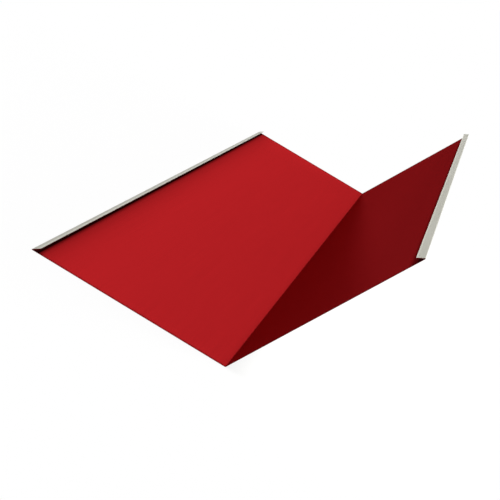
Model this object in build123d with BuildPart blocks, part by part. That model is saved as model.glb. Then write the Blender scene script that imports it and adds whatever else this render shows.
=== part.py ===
"""Valley flashing: one length of pre-painted steel, folded on a brake.

The sheet has a valley bend along its middle, two equal flanges, and along each long
edge an open hem, turned in over the top face as a water check. It lies as it would on
a floor: on its left flange, with the right flange rising and the length along Y.
"""

import os
from math import cos, radians, sin, tan

from build123d import *

# Driving dimensions, in millimetres and degrees
length = 2000.0
flange_width = 300.0  # along the back face, from the valley's mould line to the hem's fold
hem_width = 12.0  # along the hem, from its fold to the cut edge
sheet_thickness = 0.5
valley_angle = 120.0  # between the two flanges, on the top face
hem_angle = 33.0  # between a flange's top face and its hem
valley_bend_radius = 2.0  # on the top face, the inside of the bend
hem_bend_radius = 0.3  # on the top face, the inside of the bend

# How far each bend turns the sheet
valley_turn = 180 - valley_angle
hem_turn = 180 - hem_angle

# The bends on the back face, and what they take off the flat widths
valley_back_radius = valley_bend_radius + sheet_thickness
hem_back_radius = hem_bend_radius + sheet_thickness
valley_setback = valley_back_radius * tan(radians(valley_turn / 2))
flange_flat = flange_width - valley_setback - hem_back_radius
hem_flat = hem_width - hem_back_radius

# The valley bend's centre stands over the mould line, and its top face starts below it
valley_centre_height = valley_back_radius / cos(radians(valley_turn / 2))
valley_floor_height = valley_centre_height - valley_bend_radius

# Lying on the left flange, the section reaches from the left hem's fold to the right one's
right_hem_centre_x = (flange_width - hem_back_radius) * cos(radians(valley_turn))
right_hem_centre_x -= hem_back_radius * sin(radians(valley_turn))
section_right = right_hem_centre_x + hem_back_radius
mould_line_x = (flange_width - section_right) / 2

# The section's plane crosses the length at its middle, with its origin on the mould line.
# Its own Y axis halves the valley's angle, so the left flange comes out level.
section_plane = Plane(
    origin=(mould_line_x, 0, 0),
    x_dir=(cos(radians(valley_turn / 2)), 0, sin(radians(valley_turn / 2))),
    z_dir=(0, -1, 0),
)

with BuildPart() as valley_flashing:
    with BuildSketch(section_plane) as section:
        # The right half of the top face, from the valley's middle out to the hem's cut edge
        with BuildLine() as top_face:
            half_valley = JernArc(
                start=(0, valley_floor_height),
                tangent=(1, 0),
                radius=valley_bend_radius,
                arc_size=valley_turn / 2,
            )
            flange = Line(half_valley @ 1, half_valley @ 1 + flange_flat * (half_valley % 1))
            hem_bend = JernArc(
                start=flange @ 1,
                tangent=flange % 1,
                radius=hem_bend_radius,
                arc_size=hem_turn,
            )
            Line(hem_bend @ 1, hem_bend @ 1 + hem_flat * (hem_bend % 1))
            mirror(about=Plane.YZ)
            # The back face runs one sheet thickness outside every bend
            offset(amount=sheet_thickness, side=Side.RIGHT)
        make_face()
    extrude(amount=length / 2, both=True)

valley_flashing.part.label = "valley_flashing"

os.makedirs("parts", exist_ok=True)
export_step(valley_flashing.part, "parts/valley_flashing.step")
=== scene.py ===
from math import cos, pi, radians, sin, tan

import bpy
import numpy as np
from mathutils import Matrix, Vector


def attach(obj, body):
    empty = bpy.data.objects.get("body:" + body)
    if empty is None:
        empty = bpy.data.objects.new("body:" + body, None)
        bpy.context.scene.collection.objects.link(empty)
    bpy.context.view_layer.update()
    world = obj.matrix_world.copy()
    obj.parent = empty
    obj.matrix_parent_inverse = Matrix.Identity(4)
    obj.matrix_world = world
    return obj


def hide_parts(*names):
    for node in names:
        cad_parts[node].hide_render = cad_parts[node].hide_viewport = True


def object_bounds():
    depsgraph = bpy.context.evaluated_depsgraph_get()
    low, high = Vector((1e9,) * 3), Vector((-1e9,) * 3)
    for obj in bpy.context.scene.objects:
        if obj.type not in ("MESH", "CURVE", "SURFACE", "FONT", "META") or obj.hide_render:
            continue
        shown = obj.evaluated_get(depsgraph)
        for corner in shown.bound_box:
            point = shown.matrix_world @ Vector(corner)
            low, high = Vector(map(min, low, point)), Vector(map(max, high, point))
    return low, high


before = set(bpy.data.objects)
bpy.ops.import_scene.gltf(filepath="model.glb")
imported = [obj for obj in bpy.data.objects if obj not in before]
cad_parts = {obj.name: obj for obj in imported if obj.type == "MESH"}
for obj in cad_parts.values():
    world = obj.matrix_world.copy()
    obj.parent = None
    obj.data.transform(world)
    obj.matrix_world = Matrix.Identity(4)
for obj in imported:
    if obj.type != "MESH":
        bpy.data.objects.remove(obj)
cad_low, cad_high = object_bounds()


# The flashing: one length of half-millimetre zinc-coated steel, painted deep red on the coil
# line with a light grey back, and folded on a brake into a valley, two flanges and two open
# hems. The hems' long edges are as the shear left them, and the cut ends are touched up.

flange_width = 0.300  # along the back face, from the valley's mould line to the hem's fold
hem_width = 0.012  # along the hem, from its fold to the cut edge
sheet_thickness = 0.0005
valley_angle = radians(120)  # between the two flanges, on the painted face
hem_angle = radians(33)  # between a flange's painted face and its hem
valley_bend_radius = 0.002  # both radii are on the painted face, the inside of the bend
hem_bend_radius = 0.0003
valley_bend_steps = 8  # on each side of the valley's middle
hem_bend_steps = 18
flange_steps = 24
hem_steps = 3
length_steps = 64

valley_half_turn = (pi - valley_angle) / 2
hem_turn = pi - hem_angle
valley_back_radius = valley_bend_radius + sheet_thickness
hem_back_radius = hem_bend_radius + sheet_thickness
flange_flat = flange_width - valley_back_radius * tan(valley_half_turn) - hem_back_radius
hem_flat = hem_width - hem_back_radius
valley_floor_height = valley_back_radius / cos(valley_half_turn) - valley_bend_radius

# Distances along the painted face from the valley's middle: to where a hem's bend starts, to
# the point below the hem's open mouth, and round the bend to the hem's cut edge
hem_fold = valley_bend_radius * valley_half_turn + flange_flat
hem_mouth = hem_fold - hem_flat * cos(hem_angle)
cut_edge = hem_fold + hem_bend_radius * hem_turn + hem_flat

top_coat, back_coat, sheared_edge, touched_up_end = range(4)  # in the order of the materials


def half_section():
    """The painted face's line from the valley's middle to the right hem's cut edge, seen along
    the valley. It is walked in steps: a bend of radius r turns by a in each step, whose chord
    is 2 r sin(a / 2), laid at the heading halfway through the turn, and a flat keeps its
    heading. Gives each point's x and height, its heading, and its distance along the face."""
    valley_turns = np.full(valley_bend_steps, valley_half_turn / valley_bend_steps)
    hem_turns = np.full(hem_bend_steps, hem_turn / hem_bend_steps)
    turns = np.concatenate((valley_turns, np.zeros(flange_steps), hem_turns, np.zeros(hem_steps)))
    chords = np.concatenate((
        2 * valley_bend_radius * np.sin(valley_turns / 2),
        np.full(flange_steps, flange_flat / flange_steps),
        2 * hem_bend_radius * np.sin(hem_turns / 2),
        np.full(hem_steps, hem_flat / hem_steps),
    ))
    headings = np.concatenate(([0.0], np.cumsum(turns)))
    midway = headings[:-1] + turns / 2
    x = np.concatenate(([0.0], np.cumsum(chords * np.cos(midway))))
    height = valley_floor_height + np.concatenate(([0.0], np.cumsum(chords * np.sin(midway))))
    across = np.concatenate(([0.0], np.cumsum(chords)))
    return x, height, headings, across


def sheet_surface():
    """The closed surface of the folded sheet. The half section is mirrored, leant over by the
    valley's half turn about the mould line, and carried along the length. The back face lies
    one thickness behind the painted face, along its normal, which is the heading turned
    left. Gives vertices, quads, and for each quad its finish, normals and flat coordinates."""
    x, height, headings, across = half_section()
    x = np.concatenate((-x[:0:-1], x))
    height = np.concatenate((height[:0:-1], height))
    headings = np.concatenate((-headings[:0:-1], headings)) + valley_half_turn
    across = np.concatenate((-across[:0:-1], across))
    mould_line_x = cad_low.x + flange_width
    lean_x = mould_line_x + x * cos(valley_half_turn) - height * sin(valley_half_turn)
    lean_z = x * sin(valley_half_turn) + height * cos(valley_half_turn)
    along = np.linspace(cad_low.y, cad_high.y, length_steps + 1)

    heading = np.stack((np.cos(headings), 0 * headings, np.sin(headings)), axis=1)
    normal = np.stack((-np.sin(headings), 0 * headings, np.cos(headings)), axis=1)
    top = np.stack((lean_x, 0 * lean_x, lean_z), axis=1)
    back = top - sheet_thickness * normal
    shift = np.stack((0 * along, along, 0 * along), axis=1)
    points = np.concatenate([(face[:, None] + shift).reshape(-1, 3) for face in (top, back)])

    count, rows = len(x), len(along)
    painted, coated = np.arange(2 * count * rows).reshape(2, count, rows)
    nearwards = (0.0, -1.0, 0.0)
    farwards = (0.0, 1.0, 0.0)
    parts = (
        (top_coat, normal, painted[:-1, :-1], painted[1:, :-1], painted[1:, 1:], painted[:-1, 1:]),
        (back_coat, -normal, coated[:-1, :-1], coated[:-1, 1:], coated[1:, 1:], coated[1:, :-1]),
        (sheared_edge, -heading[0], coated[0, :-1], painted[0, :-1], painted[0, 1:], coated[0, 1:]),
        (sheared_edge, heading[-1], painted[-1, :-1], coated[-1, :-1], coated[-1, 1:], painted[-1, 1:]),
        (touched_up_end, nearwards, coated[:-1, 0], coated[1:, 0], painted[1:, 0], painted[:-1, 0]),
        (touched_up_end, farwards, painted[:-1, -1], painted[1:, -1], coated[1:, -1], coated[:-1, -1]),
    )
    quads, finishes, normals, flat = [], [], [], []
    for finish, facing, *corners in parts:
        part = np.stack(corners, axis=-1).reshape(-1, 4)
        section_place, row = part % (count * rows) // rows, part % rows
        quads.append(part)
        finishes.append(np.full(len(part), finish, np.int32))
        normals.append(np.broadcast_to(facing, (count, 3))[section_place])
        flat.append(np.stack((across[section_place], along[row]), axis=-1))
    return points, *(np.concatenate(values) for values in (quads, finishes, normals, flat))


def sheet_mesh():
    """The surface as a mesh, with its exact normals and the flat sheet's coordinates as UVs."""
    points, quads, finishes, normals, flat = sheet_surface()
    mesh = bpy.data.meshes.new("folded_sheet")
    mesh.from_pydata(points, [], quads)
    mesh.polygons.foreach_set("material_index", finishes)
    mesh.polygons.foreach_set("use_smooth", np.ones(len(quads), bool))
    sheet_uv = mesh.uv_layers.new(name="flat_sheet")
    sheet_uv.uv.foreach_set("vector", flat.astype(np.float32).ravel())
    mesh.normals_split_custom_set(normals.reshape(-1, 3).tolist())
    return mesh


def new_material(name):
    """An empty node material, and its node tree."""
    material = bpy.data.materials.new(name)
    material.use_nodes = True
    material.node_tree.nodes.clear()
    return material, material.node_tree


def add_node(tree, kind, inputs, **settings):
    """A node of that kind with its settings made, and with each of the inputs either given its
    value or linked to the socket that it follows."""
    node = tree.nodes.new("ShaderNode" + kind)
    for name, value in settings.items():
        setattr(node, name, value)
    for name, value in inputs.items():
        if isinstance(value, bpy.types.NodeSocket):
            tree.links.new(value, node.inputs[name])
        else:
            node.inputs[name].default_value = value
    return node


def calculated(tree, operation, *terms):
    """The terms, each a number or a socket, put together by that operation."""
    return add_node(tree, "Math", dict(enumerate(terms)), operation=operation).outputs["Value"]


def level_between(tree, place, start, end, low, high):
    """A level that goes straight from low to high as the place goes from start to end."""
    ends = {"From Min": start, "From Max": end, "To Min": low, "To Max": high}
    return add_node(tree, "MapRange", {"Value": place, **ends}).outputs["Result"]


def painted_hem_shade(tree, distance, stops):
    """A level of painted shade that follows the distance from the valley's middle, straight from
    each stop to the next one. A stop is how far past the hem's mouth it lies, and its level."""
    ramp_start = hem_mouth - 0.06
    ramp_length = 0.09
    share = level_between(tree, distance, ramp_start, ramp_start + ramp_length, 0, 1)
    ramp = add_node(tree, "ValToRGB", {"Fac": share})
    elements = ramp.color_ramp.elements
    while len(elements) < len(stops):
        elements.new(1)
    for element, (past_mouth, level) in zip(elements, stops):
        element.position = (hem_mouth + past_mouth - ramp_start) / ramp_length
        element.color = (level, level, level, 1)
    return ramp.outputs["Color"]


def speckle(tree, place, sizes, detail, low, high):
    """Uneven spots, about as large as the sizes, whose level goes from low to high. The flat
    sheet has no third direction, so there the third size is 1."""
    faintest = 0.25  # nearly all of the noise lies between these two
    strongest = 0.75
    stretched = add_node(tree, "Mapping", {"Vector": place, "Scale": [1 / size for size in sizes]})
    noise = {"Vector": stretched.outputs["Vector"], "Scale": 1, "Detail": detail}
    spots = add_node(tree, "TexNoise", noise).outputs["Fac"]
    return level_between(tree, spots, faintest, strongest, low, high)


def tinted(tree, colour, *levels):
    """The colour, multiplied by each of the levels."""
    for level in levels:
        product = add_node(tree, "VectorMath", {0: colour, 1: level}, operation="MULTIPLY")
        colour = product.outputs["Vector"]
    return colour


def relief(tree, height, depth):
    """The surface's normal, tilted by a relief as deep as the depth where the height is 1."""
    bump = add_node(tree, "Bump", {"Height": height, "Distance": depth, "Strength": 1})
    return bump.outputs["Normal"]


def flat_sheet(tree):
    """The place on the sheet as it was before it was folded, and that place's parts: the
    distance to the right of the valley's middle, to the left of it, and along the length."""
    place = add_node(tree, "UVMap", {}, uv_map="flat_sheet").outputs["UV"]
    parts = add_node(tree, "SeparateXYZ", {"Vector": place}).outputs
    return place, parts["X"], calculated(tree, "MULTIPLY", parts["X"], -1), parts["Y"]


def solid_place(tree):
    """The place in the folded sheet's own space, for grain that has no direction."""
    return add_node(tree, "TexCoord", {}).outputs["Object"]


def red_top_coat():
    """Satin polyester paint. A body colour scatters most of the light, and a clear red share
    of it mirrors, blurred by the fine texture that a coating roller leaves. Shade is painted
    into its colour at the hems: near black under each hem and on its inner face, though the
    left hem's fold is left unshaded, and a darker band on the flange beside each hem, wider
    beside the left one. The touch-up paint of the cut ends laps onto it, further at the far
    end, with a brushed edge."""
    paint_red = (0.46, 0.0142, 0.0172)
    body_roughness = 0.4
    mirrored_share = 0.26
    peel_depth = 0.00005
    near_lap = 0.008  # how far the ends' touch-up paint laps onto the face
    far_lap = 0.014
    lap_level = 0.68
    brush_stray = 0.003  # how far the laps' edges stray, either way
    # Painted shade at the two hems: for each stop, how far past the hem's mouth it lies, and the level
    # that the paint colour is multiplied by there
    left_stops = (
        (-0.055, 1), (-0.044, 0.985), (-0.034, 0.955), (-0.026, 0.92), (-0.018, 0.855),
        (-0.011, 0.77), (-0.0065, 0.69), (-0.0048, 0.63), (-0.0032, 0.56), (-0.0018, 0.45),
        (-0.0008, 0.33), (0.0003, 0.03), (0.003, 0.03), (0.0078, 1), (0.0103, 1),
        (0.0145, 0.25), (0.0225, 0.03),
    )
    right_stops = (
        (-0.0165, 1), (-0.0145, 0.96), (-0.013, 0.87), (-0.0115, 0.71), (-0.01, 0.56),
        (-0.0085, 0.46), (-0.003, 0.32), (0.0003, 0.06), (0.0225, 0.03),
    )

    material, tree = new_material("red_top_coat")
    sheet, rightwards, leftwards, lengthwise = flat_sheet(tree)
    solid = solid_place(tree)
    left_painted_shade = painted_hem_shade(tree, leftwards, left_stops)
    right_painted_shade = painted_hem_shade(tree, rightwards, right_stops)

    between_laps = calculated(tree, "ADD", lengthwise, (far_lap - near_lap) / 2)
    stray = speckle(tree, sheet, sizes=(0.006, 0.03, 1), detail=2, low=-brush_stray, high=brush_stray)
    from_between = calculated(tree, "ADD", calculated(tree, "ABSOLUTE", between_laps), stray)
    lap_start = cad_high.y - (near_lap + far_lap) / 2
    lap = level_between(tree, from_between, lap_start, lap_start + brush_stray, 1, lap_level)

    coil_bands = speckle(tree, sheet, sizes=(0.09, 1.5, 1), detail=2, low=0.985, high=1.015)
    roller_lines = speckle(tree, sheet, sizes=(0.0011, 0.4, 1), detail=3, low=0.945, high=1.055)
    pigment = speckle(tree, solid, sizes=(0.0005, 0.0005, 0.0005), detail=2, low=0.74, high=1.26)
    gloss = speckle(tree, sheet, sizes=(0.0022, 0.5, 1), detail=3, low=0.1, high=0.14)
    orange_peel = speckle(tree, solid, sizes=(0.0016, 0.002, 0.0016), detail=2, low=0, high=1)
    # The hems' painted shade darkens the paint colour here
    colour = tinted(tree, paint_red, left_painted_shade, right_painted_shade, lap, coil_bands, roller_lines, pigment)
    skin = relief(tree, orange_peel, peel_depth)

    body = add_node(tree, "BsdfPrincipled", {
        "Base Color": colour,
        "Roughness": body_roughness,
        "Specular IOR Level": 0,
        "Normal": skin,
    })
    mirror = add_node(tree, "BsdfGlossy", {"Color": colour, "Roughness": gloss, "Normal": skin})
    coat = add_node(tree, "MixShader", {
        0: mirrored_share,
        1: body.outputs["BSDF"],
        2: mirror.outputs["BSDF"],
    })
    add_node(tree, "OutputMaterial", {"Surface": coat.outputs["Shader"]})
    return material


def grey_back_coat():
    """The thin primer coat on the sheet's back: a plain light grey with a little green in it,
    duller than the top coat. It has the coater's faint lines along the coil and wider dull
    bands from the rolls. The hems are paler towards their cut edges: the right one in a narrow
    strip along the edge, and the left one over the half next to its cut edge."""
    coat_grey = (0.587, 0.577, 0.495)
    specular_level = 0.2
    grain_depth = 0.00003
    left_paler_start = cut_edge - 0.0066
    left_paler_end = cut_edge - 0.003
    left_paler_level = 1.36
    right_paler_start = cut_edge - 0.003
    right_paler_level = 1.5

    material, tree = new_material("grey_back_coat")
    sheet, rightwards, leftwards, _ = flat_sheet(tree)
    solid = solid_place(tree)
    left_paler = level_between(tree, leftwards, left_paler_start, left_paler_end, 1, left_paler_level)
    right_paler = level_between(tree, rightwards, right_paler_start, cut_edge, 1, right_paler_level)
    roll_bands = speckle(tree, sheet, sizes=(0.035, 1.2, 1), detail=3, low=0.965, high=1.035)
    coater_lines = speckle(tree, sheet, sizes=(0.0013, 0.4, 1), detail=3, low=0.95, high=1.05)
    pigment = speckle(tree, solid, sizes=(0.0006, 0.0006, 0.0006), detail=2, low=0.85, high=1.15)
    dullness = speckle(tree, sheet, sizes=(0.02, 0.3, 1), detail=2, low=0.42, high=0.58)
    grain = speckle(tree, solid, sizes=(0.0012, 0.0016, 0.0012), detail=2, low=0, high=1)
    coat = add_node(tree, "BsdfPrincipled", {
        "Base Color": tinted(tree, coat_grey, left_paler, right_paler, roll_bands, coater_lines, pigment),
        "Roughness": dullness,
        "Specular IOR Level": specular_level,
        "Normal": relief(tree, grain, grain_depth),
    })
    add_node(tree, "OutputMaterial", {"Surface": coat.outputs["BSDF"]})
    return material


def sheared_steel():
    """The hems' cut edges: bare steel, dark and dull, with the marks of the shear across it."""
    steel_grey = (0.22, 0.19, 0.18)
    metallic = 0.3
    roughness = 0.45

    material, tree = new_material("sheared_steel")
    solid = solid_place(tree)
    shear_marks = speckle(tree, solid, sizes=(0.004, 0.0003, 0.004), detail=2, low=0.8, high=1.1)
    steel = add_node(tree, "BsdfPrincipled", {
        "Base Color": tinted(tree, steel_grey, shear_marks),
        "Metallic": metallic,
        "Roughness": roughness,
    })
    add_node(tree, "OutputMaterial", {"Surface": steel.outputs["BSDF"]})
    return material


def end_paint():
    """The two cut ends, brushed over with the same red: duller than the coil-coated face, and
    uneven where the brush left it thin over the zinc."""
    brushed_red = (0.36, 0.011, 0.012)
    roughness = 0.6
    specular_level = 0.3

    material, tree = new_material("touched_up_ends")
    solid = solid_place(tree)
    brush_marks = speckle(tree, solid, sizes=(0.003, 0.003, 0.0006), detail=3, low=0.75, high=1.15)
    paint = add_node(tree, "BsdfPrincipled", {
        "Base Color": tinted(tree, brushed_red, brush_marks),
        "Roughness": roughness,
        "Specular IOR Level": specular_level,
    })
    add_node(tree, "OutputMaterial", {"Surface": paint.outputs["BSDF"]})
    return material


folded_sheet = bpy.data.objects.new("folded_sheet", sheet_mesh())
bpy.context.scene.collection.objects.link(folded_sheet)
for finish in (red_top_coat(), grey_back_coat(), sheared_steel(), end_paint()):
    folded_sheet.data.materials.append(finish)
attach(folded_sheet, "root")
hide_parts("valley_flashing")


# The floor: a wide white studio sweep, a hair below the flashing so that the two surfaces
# don't touch. It looks white to the camera and in reflections, sends back the light of a
# mid grey, and keeps a soft shadow.

floor_half_width = 60.0
floor_drop = 0.0002
floor_seen_glow = 0.79
floor_seen_grey = (0.2, 0.2, 0.2, 1)
floor_bounce_grey = (0.55, 0.55, 0.55, 1)

floor_mesh = bpy.data.meshes.new("studio_floor")
floor_corners = floor_half_width * np.array([(-1, -1), (1, -1), (1, 1), (-1, 1)])
floor_points = np.column_stack((floor_corners, np.full(4, -floor_drop)))
floor_mesh.from_pydata(floor_points, [], [(0, 1, 2, 3)])
studio_floor = bpy.data.objects.new("studio_floor", floor_mesh)
bpy.context.scene.collection.objects.link(studio_floor)


def seen_rays(tree):
    """1 for a ray from the camera, from a reflection or through glass, and 0 for soft light."""
    rays = add_node(tree, "LightPath", {}).outputs
    seen = calculated(tree, "MAXIMUM", rays["Is Camera Ray"], rays["Is Glossy Ray"])
    return calculated(tree, "MAXIMUM", seen, rays["Is Transmission Ray"])


def floor_material():
    """Seen rays meet a faint glow and a thin share of the floor's light and shadow, and soft
    light meets a plain grey surface."""
    material, tree = new_material("studio_floor")
    glow = add_node(tree, "Emission", {"Strength": floor_seen_glow})
    shaded = add_node(tree, "BsdfDiffuse", {"Color": floor_seen_grey})
    looks = add_node(tree, "AddShader", {0: glow.outputs["Emission"], 1: shaded.outputs["BSDF"]})
    bounce = add_node(tree, "BsdfDiffuse", {"Color": floor_bounce_grey})
    floor = add_node(tree, "MixShader", {
        0: seen_rays(tree),
        1: bounce.outputs["BSDF"],
        2: looks.outputs["Shader"],
    })
    add_node(tree, "OutputMaterial", {"Surface": floor.outputs["Shader"]})
    return material


studio_floor.data.materials.append(floor_material())


# The light: a softbox high on the right, almost in line with the raised flange, grazes that
# flange and lights the level one. A wide, weak one beside it reaches into the hems, and one
# low behind the raised flange lights only its back. The room is dim, but it looks white.

key_lean = radians(26.5)  # from straight up, towards the raised flange
key_spread = radians(8)
key_level = 0.75  # 1 lights a level white surface to white
side_lean = radians(45)
side_spread = radians(36)
side_level = 0.175
rear_lean = radians(72)
rear_turn = radians(20)  # from straight across, towards the far end
rear_spread = radians(40)
rear_level = 0.25
room_level = 0.05


def softbox(name, lean, turn, spread, level):
    """A distant lamp that comes from the given lean and turn, as wide as spread. Its strength
    is pi times the level that a surface facing it gets. Reflections show the white room in
    its place."""
    lamp = bpy.data.lights.new(name, "SUN")
    lamp.energy = level * pi
    lamp.angle = spread
    holder = bpy.data.objects.new(name, lamp)
    holder.matrix_world = Matrix.Rotation(turn, 4, "Z") @ Matrix.Rotation(lean, 4, "Y")
    holder.visible_glossy = False
    bpy.context.scene.collection.objects.link(holder)


softbox("key_softbox", key_lean, 0, key_spread, key_level / cos(key_lean))
softbox("side_softbox", side_lean, 0, side_spread, side_level / cos(side_lean))
softbox("rear_softbox", rear_lean, rear_turn, rear_spread, rear_level)

room = bpy.data.worlds.new("room")
room.use_nodes = True
room.node_tree.nodes.clear()
room_strength = level_between(room.node_tree, seen_rays(room.node_tree), 0, 1, room_level, 1)
room_light = add_node(room.node_tree, "Background", {"Color": (1, 1, 1, 1), "Strength": room_strength})
add_node(room.node_tree, "OutputWorld", {"Surface": room_light.outputs["Background"]})
bpy.context.scene.world = room
bpy.context.scene.view_settings.view_transform = "Standard"


# The camera: it stands in front of the near end, a little to the right, and looks along the
# valley and down into it. It is level with the valley's two slopes, as a camera would be
# over a roof, so it leans as far as the flashing does.

camera_right = 0.3655  # from the near end of the mould line, across the valley
camera_before = 2.1088
camera_height = 0.4775
camera_turn = radians(8.967)  # to the left of the valley line
camera_drop = radians(8.554)
camera_lens = 119.93  # in millimetres

camera = bpy.data.cameras.new("camera")
camera.lens = camera_lens
camera_holder = bpy.data.objects.new("camera", camera)
bpy.context.scene.collection.objects.link(camera_holder)
camera_holder.matrix_world = (
    Matrix.Translation((cad_low.x + flange_width, cad_low.y, 0))
    @ Matrix.Rotation(-valley_half_turn, 4, "Y")
    @ Matrix.Translation((camera_right, -camera_before, camera_height))
    @ Matrix.Rotation(camera_turn, 4, "Z")
    @ Matrix.Rotation(pi / 2 - camera_drop, 4, "X")
)
bpy.context.scene.camera = camera_holder
